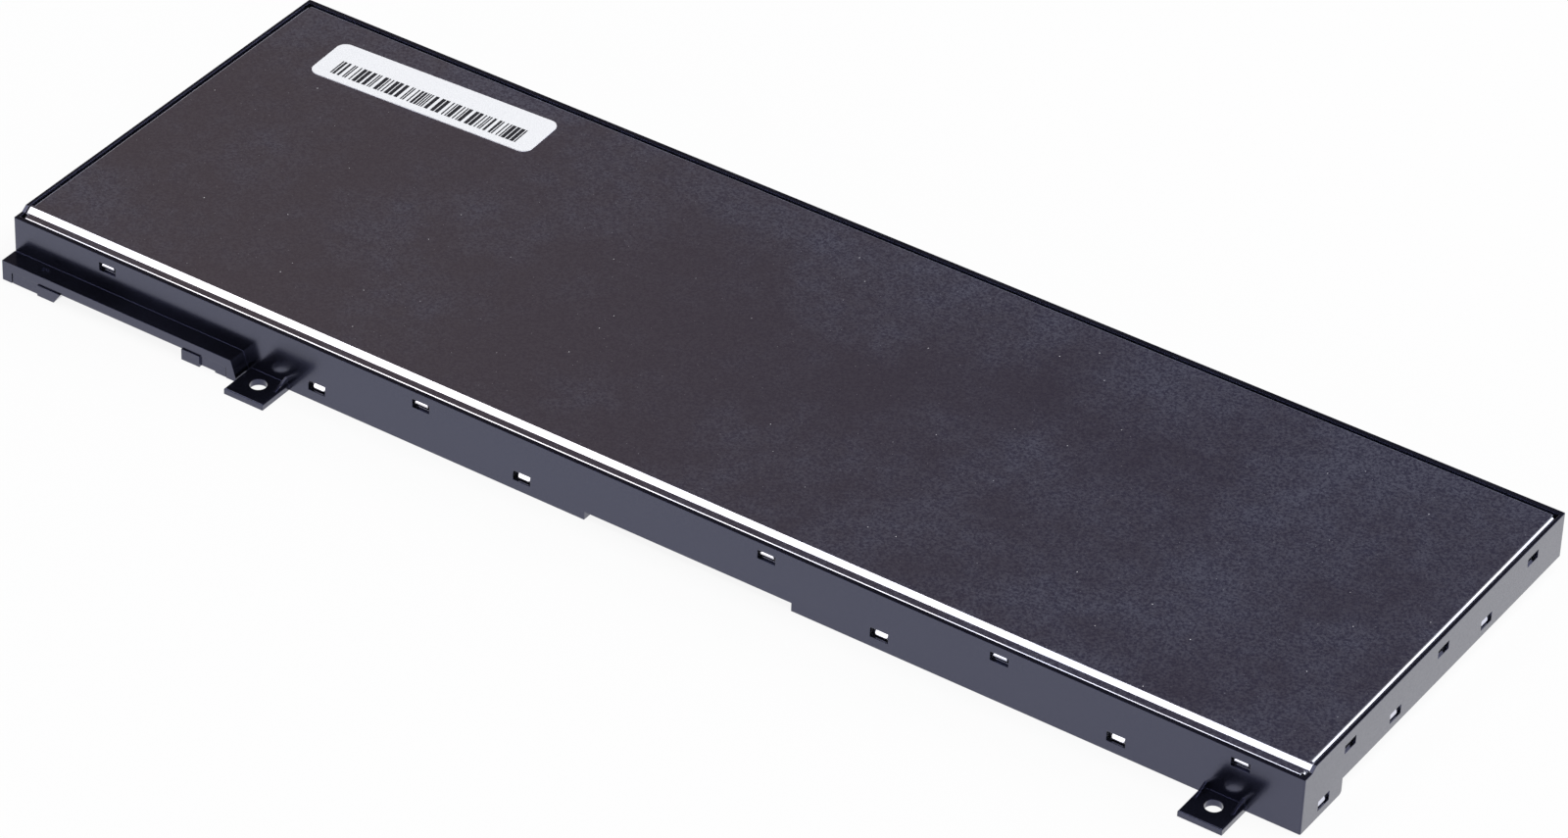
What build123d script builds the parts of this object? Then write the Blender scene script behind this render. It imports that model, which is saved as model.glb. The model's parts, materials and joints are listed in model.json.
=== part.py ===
"""Flat laptop battery pack: a moulded frame with clip-on steel covers, pouch cells and their board.

The pack lies flat with its plain steel face up. X runs along its length, Y from the front wall, which
has the screw tabs, to the back wall, and Z up. The origin is at the middle of the box around the pack,
on the surface that the pack lies on. All sizes are in millimetres.
"""

import os

from build123d import *

os.makedirs("parts", exist_ok=True)

# Overall size of the pack
LENGTH = 268.0  # over the end walls
WIDTH = 87.5  # front wall to back wall
HEIGHT = 12.25  # lowest rim to highest rim
CELL_SECTION = 9.1  # thickness of the pack over its cells
BAY_DEPTH = 13.3  # depth of the board bay behind the front wall, which hangs lower than the cells
TOP_STEP = 0.85  # how far the front wall's rim lies below the other rims
RAMP_START = 2.3  # front face to the foot of the ramp in the end walls' rims
RAMP_RUN = 1.2  # level length of that ramp
STEP_RADIUS = 0.7  # inner corner where the end walls step up behind the bay
CORNER_RADIUS = 0.25  # upright outer corners of the frame

# Walls of the frame
END_WALL = 0.65
BACK_WALL = 1.0
FRONT_WALL = 0.95

# Screw tabs on the front wall
TAB_REACH = 7.7  # front wall to the tip of a tab
TAB_WIDTH = 8.5
TAB_THICK = 1.25
TAB_HOLE = 3.2  # clearance hole for a small machine screw
TAB_HOLE_REACH = 3.3  # front wall to the middle of the hole
TAB_FROM_BAR = 0.5  # gap between the ledge bar and the tab beside it
TAB_FROM_RIGHT = 10.3  # right end of the pack to the edge of the tab beside it
TAB_EDGE = 0.3  # rounding of a tab's upper edges
GUSSET_THICK = 0.5
GUSSET_INSET = 0.1  # gusset behind the side of its tab
GUSSET_RUN = 3.4
GUSSET_RISE = 1.2
GUSSET_SIDES = ((1,), (-1, 1))  # sides of each tab that have a gusset

# Ledge bar on the front wall, with the connector under it
BAR_LENGTH = 52.6
BAR_REACH = 3.7
BAR_TOP = 4.15
BAR_BOTTOM = 2.25
BAR_LEG = 2.1  # width of the leg at each end of the bar
BAR_SLANT = 1.1  # how far the right end leans in towards its top
BAR_SLANT_START = 0.8  # height where that lean starts
DIMPLE_LENGTH = 1.7
DIMPLE_WIDTH = 0.9
DIMPLE_DEPTH = 0.3
DIMPLE_FROM_LEFT = 8.3
DIMPLE_REACH = 1.6

# Notch in the lower edge of the front wall
NOTCH_STATION = 0.547  # its middle, as a share of the length
NOTCH_WIDTH = 42.9
NOTCH_HEIGHT = 1.7
NOTCH_CHEEK = 2.0  # depth and width of the thicker wall at each end of the notch
NOTCH_CLEARANCE = 0.3

# Steel covers
SHEET = 0.3  # thickness of the steel
COVER_GAP = 0.15  # frame wall to the cover's lip
RECESS = 0.15  # cover's face below the frame's rim
LIP = 1.3  # height of the lip bent round each cover
BEND = 0.6  # outer radius of that bend along the front and the back
END_BEND = 0.8  # outer radius of the bend at the two ends
CREASE = 0.35  # radius at the foot of a step in the sheet
SOFT_BEND = 0.8  # radius at the head of the ramp
RELIEF = 0.45  # lip left off beside each corner and step
RAMP_FLAT = 0.3  # level sheet kept above and below the ramp's two ends
COVER_RAMP_SETBACK = 0.4  # cover's ramp behind the ramp of the rims

# Snap windows, and the tongue on the cover that catches in each of them
WINDOW_WIDTH = 3.65
UPPER_WINDOW = 1.75  # height of a window for the top cover
LOWER_WINDOW = 2.0  # height of a window for the bottom cover
FRONT_DROP = 2.5  # front wall's rim to the middle of its upper windows
FRONT_RISE = 2.95  # lower edge of the front wall to the middle of its lower windows
RIM_DROP = 3.0  # end and back rims to the middle of their upper windows
RIM_RISE = 2.45  # their lower edges to the middle of their lower windows
LEG_WIDTH = 7.0  # leg of a cover's lip that carries a tongue
LEG_MARGIN = 0.5  # leg past the edge of its window
TONGUE_WIDTH = 2.7
TONGUE_LENGTH = 1.3
TONGUE_LEAN = 0.6  # how far a tongue stands out at its tip
TONGUE_TIP_GAP = 0.2  # tip to the edge of the window
TONGUE_CORNER = 0.45  # rounding of the tip's corners
TONGUE_ROLL = 0.2  # rounding of the tip's outer edge
TURN_LEAN = 1.0  # how far a tongue with a turned tip stands out
TURN_HEIGHT = 0.55  # height of its tip, which turns back in
TURN_BACK = 0.3  # how far that tip goes back in
TURN_RADIUS = 0.4
LANCE_GAP = 0.15  # cut left around a tongue where it was bent out

# Places of the windows, as shares of the wall that they are in
FRONT_UPPER = (0.079, 0.337, 0.607, 0.781, 0.955)
FRONT_LOWER = (0.2525, 0.4175, 0.693, 0.8675)
BACK_UPPER = (0.1, 0.3, 0.5, 0.7, 0.9)
BACK_LOWER = (0.2, 0.4, 0.6, 0.8)
END_UPPER = (0.17, 0.523, 0.875)
END_LOWER = (0.346, 0.698)
BAY_LOWER = 0.54  # share of the bay's depth

# Cells and what holds them
CELL_COUNT = 6
CELL_CLEAR = 0.4  # cell to the covers' lips and to the rail
CELL_GAP = 1.2  # between neighbouring cells
CELL_CORNER = 1.5
CELL_EDGE = 0.8
TERRACE = 2.0  # sealed front edge of a pouch, which its terminals come out of
TERRACE_THICK = 1.1
TERRACE_INSET = 3.0
ADHESIVE = 0.15
FOAM = 0.5
PAD_INSET = 2.5  # pads and adhesive inside the cell's outline
RAIL = 0.8  # thickness of the rail between the bay and the cells
RIB = 0.6  # thickness of the ribs between pairs of cells
RIB_GAP = 0.2  # rail and ribs to the covers' lips and legs
PAIR = 2  # cells between two ribs

# Cell terminals and the plates on the board that they are welded to
TERMINAL_WIDTH = 6.0
TERMINAL_THICK = 0.15
TERMINAL_SPREAD = 21.0  # between the two terminals of a cell
TERMINAL_LIFT = 0.3  # terminals above the rail
TERMINAL_BEND = 0.4
PLATE_LENGTH = 3.6
PLATE_THICK = 0.15
PLATE_MARGIN = 0.5  # plate past the terminal on each side
PLATE_FROM_BACK = 2.2  # board's back edge to a plate
DROP_RUN = 1.2  # level length of the slope down to the plate

# Protection board
BOARD_THICK = 0.8
BOARD_CLEAR = 0.5  # board to the covers' legs and to the rail
BOARD_END_CLEAR = 3.0  # board to the covers' lips at the pack's ends
SEAT = 1.0  # thickness of the shelves under the board
SEAT_LIFT = 0.4  # board above the lower edge of the rail
LEDGE = 1.4  # depth of the ledge along the rail
SHELF_WIDTH = 6.0
SHELF_DEPTH = 3.6
PEG_RADIUS = 0.6
PEG_CLEAR = 0.15
PEG_RISE = 0.5  # peg above the board
PEG_REACH = 2.2  # front wall's inner face to a peg
SHELF_STATIONS = (0.19, 0.5, 0.82)

# Parts soldered to the board: length, width and height
GAUGE_CHIP = (7.0, 4.4, 1.0)
TRANSISTOR = (5.0, 4.2, 1.1)
FUSE = (6.4, 3.0, 1.3)
SENSE_RESISTOR = (6.3, 3.2, 0.7)
CAPACITOR = (1.6, 0.8, 0.8)
THERMISTOR = (1.6, 0.9, 0.9)
CHIP_CHAMFER = 0.15
PART_ROW = 3.0  # board's front edge to the middle of the large parts
GAUGE_STATION = 0.32
SENSE_STATION = 0.4
TRANSISTOR_STATIONS = (0.57, 0.61, 0.65, 0.69)
FUSE_STATION = 0.76
CAPACITOR_STATIONS = (0.25, 0.45)
CAPACITOR_COLUMNS = 3
CAPACITOR_ROWS = 2
CAPACITOR_PITCH = 2.2
THERMISTOR_STATION = 0.5
THERMISTOR_FROM_BACK = 2.6

# Connector under the bar
HOUSING_GAP = 0.15  # housing to the legs of the bar
HOUSING_SETBACK = 0.1  # housing behind the bar's front face
END_BLOCK = 9.6  # length of the solid block at each end of the housing
FOOT_PROUD = 0.4  # foot of each block past the rest of its front face
LEFT_FOOT = 3.7  # length of the left block's foot, at the block's right end
LEFT_FOOT_LEAN = 1.6  # how far that end leans out towards its top
RIGHT_FOOT = 4.0  # length of the right block's foot, at the block's left end
BLOCK_RELIEF = 3.2  # length of the shallower part beside it
BLOCK_RELIEF_RISE = 0.3
WEB_DEPTH = 1.9  # strip between the blocks, which holds the contacts
WEB_BOTTOM = 0.5
CONTACT_COUNT = 9
CONTACT_PITCH = 2.5
CONTACT_WIDTH = 0.8
CONTACT_THICK = 0.25
CONTACT_CLEAR = 0.12
CONTACT_REACH = 1.1  # front face of the wall to the contact's upright end
CONTACT_BOTTOM = 0.7
CONTACT_LEVEL = 1.85  # height at which the contacts pass through the wall
CONTACT_BEND = 0.3
CONTACT_FROM_EDGE = 1.6  # board's front edge to the contact's upright

# Insulating films and labels
FILM = 0.2
FILM_CLEAR = 0.5
LABEL_THICK = 0.1
CODE_LABEL = (48.3, 11.5)
CODE_LABEL_CORNER = 2.0
CODE_LABEL_TURN = 2.4  # degrees
CODE_LABEL_FROM_LEFT = 38.0
CODE_LABEL_FROM_BACK = 12.5
RATING_LABEL_INSET = 5.0
RATING_LABEL_CORNER = 3.0

# Faces of the frame and of the sheet that the values above give
RIGHT = LENGTH / 2
LEFT = -RIGHT
FRONT = (TAB_REACH - WIDTH) / 2
BACK = FRONT + WIDTH
CELL_FLOOR = HEIGHT - CELL_SECTION
BAY_HEIGHT = HEIGHT - TOP_STEP
BAY_BACK = FRONT + BAY_DEPTH
SHEET_FRONT = FRONT + FRONT_WALL + COVER_GAP
SHEET_BACK = BACK - BACK_WALL - COVER_GAP
SHEET_END = RIGHT - END_WALL - COVER_GAP
PANEL_TOP = HEIGHT - RECESS
LEDGE_TOP = BAY_HEIGHT - RECESS
PANEL_BOTTOM = CELL_FLOOR + RECESS
BAY_BOTTOM = RECESS
RAMP_FOOT = FRONT + RAMP_START + COVER_RAMP_SETBACK
RAMP_HEAD = RAMP_FOOT + RAMP_RUN
SHEET_STEP = BAY_BACK - COVER_GAP - SHEET

# Rail, ribs, board and cells
RAIL_BOTTOM = PANEL_BOTTOM + LIP + RIB_GAP
RAIL_TOP = HEIGHT - RIM_DROP - UPPER_WINDOW / 2 - LEG_MARGIN - RIB_GAP
BOARD_BOTTOM = RAIL_BOTTOM + SEAT_LIFT
BOARD_TOP = BOARD_BOTTOM + BOARD_THICK
BOARD_FRONT = SHEET_FRONT + SHEET + BOARD_CLEAR
BOARD_BACK = BAY_BACK - BOARD_CLEAR
BOARD_END = SHEET_END - SHEET - BOARD_END_CLEAR
CELL_BOTTOM = PANEL_BOTTOM + SHEET + ADHESIVE
CELL_TOP = PANEL_TOP - SHEET - FOAM
CELL_FRONT = BAY_BACK + RAIL + CELL_CLEAR
CELL_BACK = SHEET_BACK - SHEET - CELL_CLEAR
CELL_ROOM = 2 * (SHEET_END - SHEET - CELL_CLEAR)
CELL_PITCH = (CELL_ROOM + CELL_GAP) / CELL_COUNT
CELL_WIDTH = CELL_PITCH - CELL_GAP
CELL_MIDDLES = [(i - (CELL_COUNT - 1) / 2) * CELL_PITCH for i in range(CELL_COUNT)]
TERMINAL_BOTTOM = RAIL_TOP + TERMINAL_LIFT
TERMINAL_FRONT = BOARD_BACK - PLATE_FROM_BACK - PLATE_LENGTH

# Tabs and bar along the front wall
BAR_RIGHT = LEFT + BAR_LENGTH
TAB_MIDDLES = (BAR_RIGHT + TAB_FROM_BAR + TAB_WIDTH / 2, RIGHT - TAB_FROM_RIGHT - TAB_WIDTH / 2)
NOTCH_MIDDLE = LEFT + NOTCH_STATION * LENGTH
HOUSING_LEFT = LEFT + BAR_LEG + HOUSING_GAP
HOUSING_RIGHT = BAR_RIGHT - BAR_LEG - HOUSING_GAP
CONTACT_MIDDLE = (HOUSING_LEFT + HOUSING_RIGHT) / 2


def wall_plane(x, y, z, outward):
    """Upright plane square to a wall: its first axis points out of the pack and its second one up."""
    return Plane(origin=(x, y, z), x_dir=outward, z_dir=Vector(*outward).cross(Vector(0, 0, 1)))


def front_places(stations, level):
    """Snap places along the front wall, on the outer face of the cover's lip."""
    return [wall_plane(LEFT + s * LENGTH, SHEET_FRONT, level, (0, -1, 0)) for s in stations]


def back_places(stations, level):
    """Snap places along the back wall."""
    return [wall_plane(LEFT + s * LENGTH, SHEET_BACK, level, (0, 1, 0)) for s in stations]


def end_places(reaches, level):
    """Snap places on both end walls, at these distances behind the front face."""
    return [
        wall_plane(side * SHEET_END, FRONT + reach, level, (side, 0, 0))
        for side in (-1, 1)
        for reach in reaches
    ]


# Snap places of each cover, their windows' middles to the cover's face, and whether the tips turn back
UPPER_SNAPS = (
    (front_places(FRONT_UPPER, BAY_HEIGHT - FRONT_DROP), FRONT_DROP - RECESS, True),
    (back_places(BACK_UPPER, HEIGHT - RIM_DROP), RIM_DROP - RECESS, False),
    (end_places([s * WIDTH for s in END_UPPER], HEIGHT - RIM_DROP), RIM_DROP - RECESS, False),
)
LOWER_SNAPS = (
    (front_places(FRONT_LOWER, FRONT_RISE), FRONT_RISE - RECESS, False),
    (back_places(BACK_LOWER, CELL_FLOOR + RIM_RISE), RIM_RISE - RECESS, False),
    (end_places([s * WIDTH for s in END_LOWER], CELL_FLOOR + RIM_RISE), RIM_RISE - RECESS, False),
    (end_places([BAY_LOWER * BAY_DEPTH], RIM_RISE), RIM_RISE - RECESS, False),
)


def block(low, high, mode=Mode.ADD):
    """A box between two corners."""
    size = Vector(*high) - Vector(*low)
    with Locations(low):
        Box(size.X, size.Y, size.Z, align=Align.MIN, mode=mode)


def prism(plane, points, half_width, mode=Mode.ADD):
    """A flat-sided piece: an outline on a plane, carried the same way to both sides of it."""
    with BuildSketch(plane) as outline:
        with BuildLine():
            Polyline(*points, close=True)
        make_face()
    extrude(outline.sketch, amount=half_width, both=True, mode=mode)


def bent_strip(plane, points, radii, thickness, side, half_width):
    """A strip bent from sheet: a path with rounded corners, thickened to one side and given a width."""
    with BuildSketch(plane) as section:
        with BuildLine():
            FilletPolyline(*points, radius=radii)
            offset(amount=thickness, side=side)
        make_face()
    extrude(section.sketch, amount=half_width, both=True)


def end_lips(y_low, y_high, face, down):
    """Lips at both ends of a cover, between two depths. They hang where down is 1 and stand where it is -1."""
    inside = Side.RIGHT if down > 0 else Side.LEFT
    path = [(SHEET_END - 2 * END_BEND, face), (SHEET_END, face), (SHEET_END, face - down * LIP)]
    for side in (-1, 1):
        middle = wall_plane(0, (y_low + y_high) / 2, 0, (side, 0, 0))
        bent_strip(middle, path, END_BEND, SHEET, inside, (y_high - y_low) / 2)


def upright(x_low, x_high, y_low, y_high):
    """Corners of a rectangle."""
    return [(x_low, y_low), (x_high, y_low), (x_high, y_high), (x_low, y_high)]


def plain_tongue(root, tip, down):
    """A tongue that leans straight out to its tip."""
    blade = [(-SHEET, root), (0, root), (TONGUE_LEAN, tip), (TONGUE_LEAN - SHEET, tip)]
    with BuildPart(mode=Mode.PRIVATE) as tongue:
        prism(Plane.XY, blade, TONGUE_WIDTH / 2)
        fillet(tongue.edges().filter_by(Axis.X).sort_by(Axis.Y, reverse=down > 0)[:2], TONGUE_CORNER)
        tip_edges = tongue.edges().filter_by(Axis.Z).group_by(Axis.Y)[-1 if down > 0 else 0]
        fillet(tip_edges.sort_by(Axis.X)[-1], TONGUE_ROLL)
    return tongue.part


def turned_tongue(root, tip, down):
    """A tongue that leans out and, over its last part, turns back in."""
    path = [
        (0, root - down * SHEET),
        (0, root),
        (TURN_LEAN, tip - down * TURN_HEIGHT),
        (TURN_LEAN - TURN_BACK, tip),
    ]
    inside = Side.LEFT if down > 0 else Side.RIGHT
    with BuildPart(mode=Mode.PRIVATE) as tongue:
        bent_strip(Plane.XY, path, TURN_RADIUS, SHEET, inside, TONGUE_WIDTH / 2)
        tip_face = tongue.faces().sort_by(Axis.Y, reverse=down > 0)[0]
        fillet(tip_face.edges().sort_by(SortBy.LENGTH)[:2], TONGUE_CORNER)
    return tongue.part


def snaps(groups, window, down):
    """Legs below a cover's lip, each with a tongue cut free on three sides and bent out at its tip."""
    tip = down * (window / 2 - TONGUE_TIP_GAP)
    root = tip - down * TONGUE_LENGTH
    leg_end = -down * (window / 2 + LEG_MARGIN)
    with BuildPart(mode=Mode.PRIVATE) as slot:
        prism(Plane.XY, upright(-SHEET, 0, root, tip + down * LANCE_GAP), TONGUE_WIDTH / 2 + LANCE_GAP)
    for places, reach, turned in groups:
        tongue = turned_tongue(root, tip, down) if turned else plain_tongue(root, tip, down)
        with BuildPart(mode=Mode.PRIVATE) as leg:
            prism(Plane.XY, upright(-SHEET, 0, leg_end, down * (reach - END_BEND)), LEG_WIDTH / 2)
        with Locations(*places):
            add(leg.part)
            add(slot.part, mode=Mode.SUBTRACT)
            add(tongue)


def windows(groups, height):
    """Square holes through the frame's walls at the snap places."""
    through = COVER_GAP + max(FRONT_WALL, BACK_WALL, END_WALL) + COVER_GAP
    with BuildPart(mode=Mode.PRIVATE) as hole:
        prism(Plane.XY, upright(0, through, -height / 2, height / 2), WINDOW_WIDTH / 2)
    for places, *_ in groups:
        with Locations(*places):
            add(hole.part, mode=Mode.SUBTRACT)


# Frame: four walls with a lower bay along the front, and the rail, ribs and shelves inside
with BuildPart() as frame:
    with BuildSketch(Plane.YZ) as end_outline:
        with BuildLine():
            Polyline(
                (FRONT, 0),
                (BAY_BACK, 0),
                (BAY_BACK, CELL_FLOOR),
                (BACK, CELL_FLOOR),
                (BACK, HEIGHT),
                (FRONT + RAMP_START + RAMP_RUN, HEIGHT),
                (FRONT + RAMP_START, BAY_HEIGHT),
                (FRONT, BAY_HEIGHT),
                close=True,
            )
        make_face()
        inner_corner = end_outline.vertices().sort_by_distance((0, BAY_BACK, CELL_FLOOR))[0]
        fillet(inner_corner, STEP_RADIUS)
    extrude(amount=RIGHT, both=True)
    uprights = frame.edges().filter_by(Axis.Z).group_by(Axis.Y)
    fillet(uprights[0] + uprights[-1], CORNER_RADIUS)
    block(
        (LEFT + END_WALL, FRONT + FRONT_WALL, 0),
        (RIGHT - END_WALL, BACK - BACK_WALL, HEIGHT),
        Mode.SUBTRACT,
    )

    # Rail behind the bay, with a ledge under the board, and a rib between each two pairs of cells
    inner_end = RIGHT - END_WALL
    block((-inner_end, BAY_BACK, RAIL_BOTTOM), (inner_end, BAY_BACK + RAIL, RAIL_TOP))
    block((-inner_end, BAY_BACK - LEDGE, BOARD_BOTTOM - SEAT), (inner_end, BAY_BACK, BOARD_BOTTOM))
    for first in range(PAIR, CELL_COUNT, PAIR):
        rib_middle = (CELL_MIDDLES[first - 1] + CELL_MIDDLES[first]) / 2
        block(
            (rib_middle - RIB / 2, BAY_BACK + RAIL, RAIL_BOTTOM),
            (rib_middle + RIB / 2, BACK - BACK_WALL, RAIL_TOP),
        )

    # Shelves on the front wall, each with a peg that locates the board
    for station in SHELF_STATIONS:
        shelf_x = LEFT + station * LENGTH
        inner_front = FRONT + FRONT_WALL
        block(
            (shelf_x - SHELF_WIDTH / 2, inner_front, BOARD_BOTTOM - SEAT),
            (shelf_x + SHELF_WIDTH / 2, inner_front + SHELF_DEPTH, BOARD_BOTTOM),
        )
        with BuildSketch(Plane.XY.offset(BOARD_BOTTOM)):
            with Locations((shelf_x, inner_front + PEG_REACH)):
                Circle(PEG_RADIUS)
        extrude(amount=BOARD_THICK + PEG_RISE)

    # Notch in the lower edge of the front wall, between two thicker cheeks
    for side in (-1, 1):
        cheek_edge = NOTCH_MIDDLE + side * NOTCH_WIDTH / 2
        cheek_far = cheek_edge + side * NOTCH_CHEEK
        block(
            (min(cheek_edge, cheek_far), FRONT, 0),
            (max(cheek_edge, cheek_far), FRONT + NOTCH_CHEEK, NOTCH_HEIGHT),
        )
    block(
        (NOTCH_MIDDLE - NOTCH_WIDTH / 2, FRONT, 0),
        (NOTCH_MIDDLE + NOTCH_WIDTH / 2, FRONT + FRONT_WALL, NOTCH_HEIGHT),
        Mode.SUBTRACT,
    )

    # Ledge bar on legs, over the connector
    bar_outline = [
        (LEFT, 0),
        (LEFT + BAR_LEG, 0),
        (LEFT + BAR_LEG, BAR_BOTTOM),
        (BAR_RIGHT - BAR_LEG, BAR_BOTTOM),
        (BAR_RIGHT - BAR_LEG, 0),
        (BAR_RIGHT, 0),
        (BAR_RIGHT, BAR_SLANT_START),
        (BAR_RIGHT - BAR_SLANT, BAR_TOP),
        (LEFT, BAR_TOP),
    ]
    prism(Plane.XZ.offset(-(FRONT - BAR_REACH / 2)), bar_outline, BAR_REACH / 2)
    with BuildSketch(Plane.XY.offset(BAR_TOP)):
        with Locations((LEFT + DIMPLE_FROM_LEFT, FRONT - DIMPLE_REACH)):
            SlotOverall(DIMPLE_LENGTH, DIMPLE_WIDTH)
    extrude(amount=-DIMPLE_DEPTH, mode=Mode.SUBTRACT)

    # Screw tabs with gussets up to the wall
    with BuildPart(mode=Mode.PRIVATE) as tab:
        block((-TAB_WIDTH / 2, FRONT - TAB_REACH, 0), (TAB_WIDTH / 2, FRONT, TAB_THICK))
        free_edges = tab.faces().sort_by(Axis.Z)[-1].edges().sort_by(Axis.Y)[:-1]
        fillet(free_edges, TAB_EDGE)
    gusset = [(0, TAB_THICK), (GUSSET_RUN, TAB_THICK), (0, TAB_THICK + GUSSET_RISE)]
    gusset_reach = (TAB_WIDTH - GUSSET_THICK) / 2 - TAB_EDGE - GUSSET_INSET
    for tab_x, sides in zip(TAB_MIDDLES, GUSSET_SIDES):
        with Locations((tab_x, 0, 0)):
            add(tab.part)
        for side in sides:
            foot = wall_plane(tab_x + side * gusset_reach, FRONT, 0, (0, -1, 0))
            prism(foot, gusset, GUSSET_THICK / 2)
        with Locations((tab_x, FRONT - TAB_HOLE_REACH, TAB_THICK / 2)):
            Cylinder(TAB_HOLE / 2, TAB_THICK, mode=Mode.SUBTRACT)

    # Slot through the front wall for the contacts, and the snap windows
    slot_half = ((CONTACT_COUNT - 1) * CONTACT_PITCH + CONTACT_WIDTH) / 2 + CONTACT_CLEAR
    block(
        (CONTACT_MIDDLE - slot_half, FRONT, CONTACT_LEVEL - CONTACT_CLEAR),
        (CONTACT_MIDDLE + slot_half, FRONT + FRONT_WALL, CONTACT_LEVEL + CONTACT_THICK + CONTACT_CLEAR),
        Mode.SUBTRACT,
    )
    windows(UPPER_SNAPS, UPPER_WINDOW)
    windows(LOWER_SNAPS, LOWER_WINDOW)
frame.part.label = "frame"
export_step(frame.part, "parts/frame.step")


# Top cover: one folded sheet with a ramp along its front edge
with BuildPart() as top_cover:
    top_path = [
        (SHEET_FRONT, LEDGE_TOP - LIP),
        (SHEET_FRONT, LEDGE_TOP),
        (RAMP_FOOT, LEDGE_TOP),
        (RAMP_HEAD, PANEL_TOP),
        (SHEET_BACK, PANEL_TOP),
        (SHEET_BACK, PANEL_TOP - LIP),
    ]
    bends = (BEND, CREASE, SOFT_BEND, BEND)
    bent_strip(Plane.YZ, top_path, bends, SHEET, Side.RIGHT, SHEET_END - END_BEND)
    ramp_path = [
        (RAMP_FOOT - RAMP_FLAT, LEDGE_TOP),
        (RAMP_FOOT, LEDGE_TOP),
        (RAMP_HEAD, PANEL_TOP),
        (RAMP_HEAD + RAMP_FLAT, PANEL_TOP),
    ]
    for side in (-1, 1):
        ramp_end = Plane.YZ.offset(side * (SHEET_END - END_BEND / 2))
        bent_strip(ramp_end, ramp_path, (CREASE, SOFT_BEND), SHEET, Side.RIGHT, END_BEND / 2)
    end_lips(SHEET_FRONT + BEND, RAMP_FOOT - RELIEF, LEDGE_TOP, 1)
    end_lips(RAMP_HEAD + RELIEF, SHEET_BACK - BEND - RELIEF, PANEL_TOP, 1)
    snaps(UPPER_SNAPS, UPPER_WINDOW, 1)
top_cover.part.label = "top_cover"
export_step(top_cover.part, "parts/top_cover.step")


# Bottom cover: one folded sheet that steps down under the board bay
with BuildPart() as bottom_cover:
    bottom_path = [
        (SHEET_FRONT, BAY_BOTTOM + LIP),
        (SHEET_FRONT, BAY_BOTTOM),
        (SHEET_STEP, BAY_BOTTOM),
        (SHEET_STEP, PANEL_BOTTOM),
        (SHEET_BACK, PANEL_BOTTOM),
        (SHEET_BACK, PANEL_BOTTOM + LIP),
    ]
    bends = (BEND, BEND, CREASE, BEND)
    bent_strip(Plane.YZ, bottom_path, bends, SHEET, Side.LEFT, SHEET_END - END_BEND)
    end_lips(SHEET_FRONT + BEND, SHEET_STEP - BEND - RELIEF, BAY_BOTTOM, -1)
    end_lips(BAY_BACK + RELIEF, SHEET_BACK - BEND - RELIEF, PANEL_BOTTOM, -1)
    cut_half = NOTCH_WIDTH / 2 + NOTCH_CHEEK + NOTCH_CLEARANCE
    block(
        (NOTCH_MIDDLE - cut_half, FRONT, 0),
        (NOTCH_MIDDLE + cut_half, FRONT + NOTCH_CHEEK + NOTCH_CLEARANCE, BAY_BOTTOM + LIP),
        Mode.SUBTRACT,
    )
    snaps(LOWER_SNAPS, LOWER_WINDOW, -1)
bottom_cover.part.label = "bottom_cover"
export_step(bottom_cover.part, "parts/bottom_cover.step")


# Pouch cells: a soft-edged body with a thin sealed terrace in front
with BuildPart() as pouch:
    block((-CELL_WIDTH / 2, CELL_FRONT + TERRACE, CELL_BOTTOM), (CELL_WIDTH / 2, CELL_BACK, CELL_TOP))
    fillet(pouch.edges().filter_by(Axis.Z), CELL_CORNER)
    fillet(pouch.faces().filter_by(Axis.Z).edges(), CELL_EDGE)
    terrace_bottom = TERMINAL_BOTTOM + TERMINAL_THICK / 2 - TERRACE_THICK / 2
    terrace_half = CELL_WIDTH / 2 - TERRACE_INSET
    block(
        (-terrace_half, CELL_FRONT, terrace_bottom),
        (terrace_half, CELL_FRONT + TERRACE, terrace_bottom + TERRACE_THICK),
    )

for number, cell_x in enumerate(CELL_MIDDLES, start=1):
    with BuildPart() as cell:
        with Locations((cell_x, 0, 0)):
            add(pouch.part)
    cell.part.label = f"cell_{number}"
    export_step(cell.part, f"parts/cell_{number}.step")


# Terminals: bent strips from each cell, over the rail and down to a plate on the board
weld_level = BOARD_TOP + PLATE_THICK
slope_foot = TERMINAL_FRONT + PLATE_LENGTH
terminal_path = [
    (CELL_FRONT, TERMINAL_BOTTOM),
    (slope_foot + DROP_RUN, TERMINAL_BOTTOM),
    (slope_foot, weld_level),
    (TERMINAL_FRONT, weld_level),
]
with BuildPart() as terminal:
    bent_strip(Plane.YZ, terminal_path, TERMINAL_BEND, TERMINAL_THICK, Side.RIGHT, TERMINAL_WIDTH / 2)

for terminal_name, side in (("positive_terminals", 1), ("negative_terminals", -1)):
    with BuildPart() as terminals:
        with Locations(*[(cell_x + side * TERMINAL_SPREAD / 2, 0, 0) for cell_x in CELL_MIDDLES]):
            add(terminal.part)
    terminals.part.label = terminal_name
    export_step(terminals.part, f"parts/{terminal_name}.step")


# Plates soldered to the board under the terminals
with BuildPart() as weld_plates:
    plate_size = (TERMINAL_WIDTH + 2 * PLATE_MARGIN, PLATE_LENGTH, PLATE_THICK)
    plate_middles = [cell_x + side * TERMINAL_SPREAD / 2 for cell_x in CELL_MIDDLES for side in (-1, 1)]
    with Locations(*[(plate_x, TERMINAL_FRONT, BOARD_TOP) for plate_x in plate_middles]):
        Box(*plate_size, align=(Align.CENTER, Align.MIN, Align.MIN))
weld_plates.part.label = "weld_plates"
export_step(weld_plates.part, "parts/weld_plates.step")


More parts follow.
